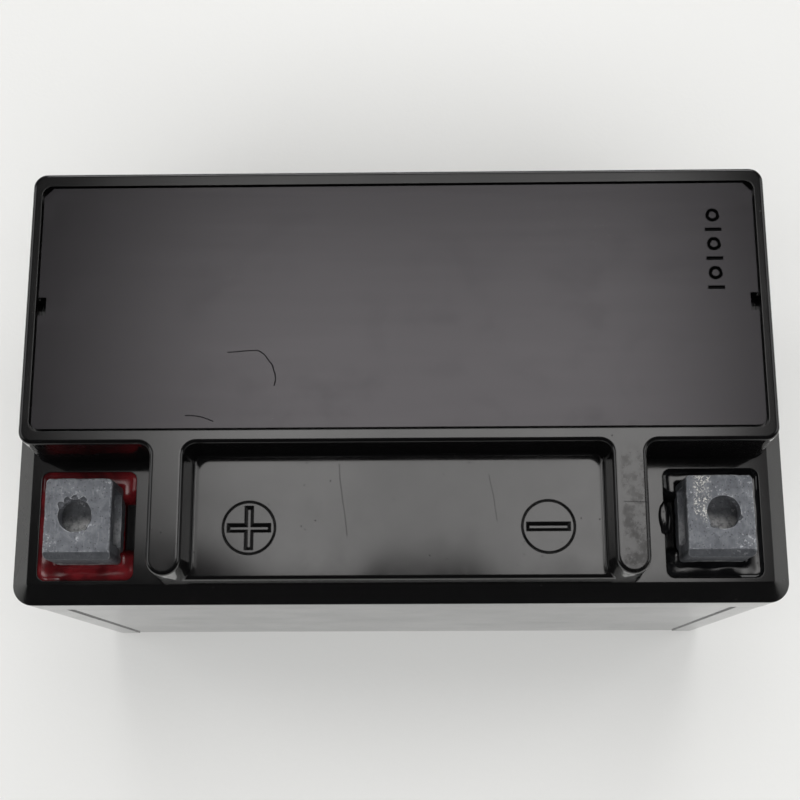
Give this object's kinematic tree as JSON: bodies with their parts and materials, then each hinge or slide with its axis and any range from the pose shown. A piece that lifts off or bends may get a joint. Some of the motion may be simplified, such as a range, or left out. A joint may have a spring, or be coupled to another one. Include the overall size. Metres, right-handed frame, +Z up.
{
  "type": "motorcycle battery",
  "caption": "Sealed rectangular lead-acid battery with two corner block terminals in recesses and a flat plate over its valves.",
  "frame": {"origin": "centre of the footprint, on the surface that the battery stands on", "axes": "+Z up; +X along the length towards the negative terminal; the terminals are on the -Y long side, +Y is the plain long side"},
  "size_m": [0.15, 0.087, 0.105],
  "materials": {
    "case_plastic": "smooth black moulded plastic",
    "cover_plastic": "glossy black moulded plastic",
    "plate_plastic": "semi-gloss black moulded plastic",
    "valve_rubber": "soft black rubber",
    "terminal_lead": null,
    "strap_lead": "cast lead",
    "red_resin": "glossy red potting resin",
    "black_resin": "glossy black potting resin",
    "ring_rubber": "black rubber",
    "positive_plate": "dark brown lead dioxide paste on a lead grid",
    "negative_plate": "grey spongy lead paste on a lead grid",
    "glass_mat": "white glass fibre mat"
  },
  "bodies": {
    "root": {"case": "case_plastic", "cover": "cover_plastic", "positive_terminal": "terminal_lead", "negative_terminal": "terminal_lead", "positive_seal": "red_resin", "negative_seal": "black_resin", "positive_post_ring": "ring_rubber", "negative_post_ring": "ring_rubber", "cell_1_positive_plates": "positive_plate", "cell_1_negative_plates": "negative_plate", "cell_1_glass_mats": "glass_mat", "cell_2_positive_plates": "positive_plate", "cell_2_negative_plates": "negative_plate", "cell_2_glass_mats": "glass_mat", "cell_3_positive_plates": "positive_plate", "cell_3_negative_plates": "negative_plate", "cell_3_glass_mats": "glass_mat", "cell_4_positive_plates": "positive_plate", "cell_4_negative_plates": "negative_plate", "cell_4_glass_mats": "glass_mat", "cell_5_positive_plates": "positive_plate", "cell_5_negative_plates": "negative_plate", "cell_5_glass_mats": "glass_mat", "cell_6_positive_plates": "positive_plate", "cell_6_negative_plates": "negative_plate", "cell_6_glass_mats": "glass_mat", "intercell_link_1": "strap_lead", "intercell_link_2": "strap_lead", "intercell_link_3": "strap_lead", "intercell_link_4": "strap_lead", "intercell_link_5": "strap_lead"},
    "plate": {"top_plate": "plate_plastic"},
    "valve_1": {"valve_cap_1": "valve_rubber"},
    "valve_2": {"valve_cap_2": "valve_rubber"},
    "valve_3": {"valve_cap_3": "valve_rubber"},
    "valve_4": {"valve_cap_4": "valve_rubber"},
    "valve_5": {"valve_cap_5": "valve_rubber"},
    "valve_6": {"valve_cap_6": "valve_rubber"}
  },
  "joints": [
    {"name": "plate_lift", "type": "slide", "parent": "root", "child": "plate", "axis": [0, 0, 1], "range_m": [0, 0.03]},
    {"name": "valve_1_lift", "type": "slide", "parent": "root", "child": "valve_1", "axis": [0, 0, 1], "range_m": [0, 0.0005], "stiffness_N_per_m": 400, "springref_m": -0.001},
    {"name": "valve_2_lift", "type": "slide", "parent": "root", "child": "valve_2", "axis": [0, 0, 1], "range_m": [0, 0.0005], "stiffness_N_per_m": 400, "springref_m": -0.001},
    {"name": "valve_3_lift", "type": "slide", "parent": "root", "child": "valve_3", "axis": [0, 0, 1], "range_m": [0, 0.0005], "stiffness_N_per_m": 400, "springref_m": -0.001},
    {"name": "valve_4_lift", "type": "slide", "parent": "root", "child": "valve_4", "axis": [0, 0, 1], "range_m": [0, 0.0005], "stiffness_N_per_m": 400, "springref_m": -0.001},
    {"name": "valve_5_lift", "type": "slide", "parent": "root", "child": "valve_5", "axis": [0, 0, 1], "range_m": [0, 0.0005], "stiffness_N_per_m": 400, "springref_m": -0.001},
    {"name": "valve_6_lift", "type": "slide", "parent": "root", "child": "valve_6", "axis": [0, 0, 1], "range_m": [0, 0.0005], "stiffness_N_per_m": 400, "springref_m": -0.001}
  ]
}
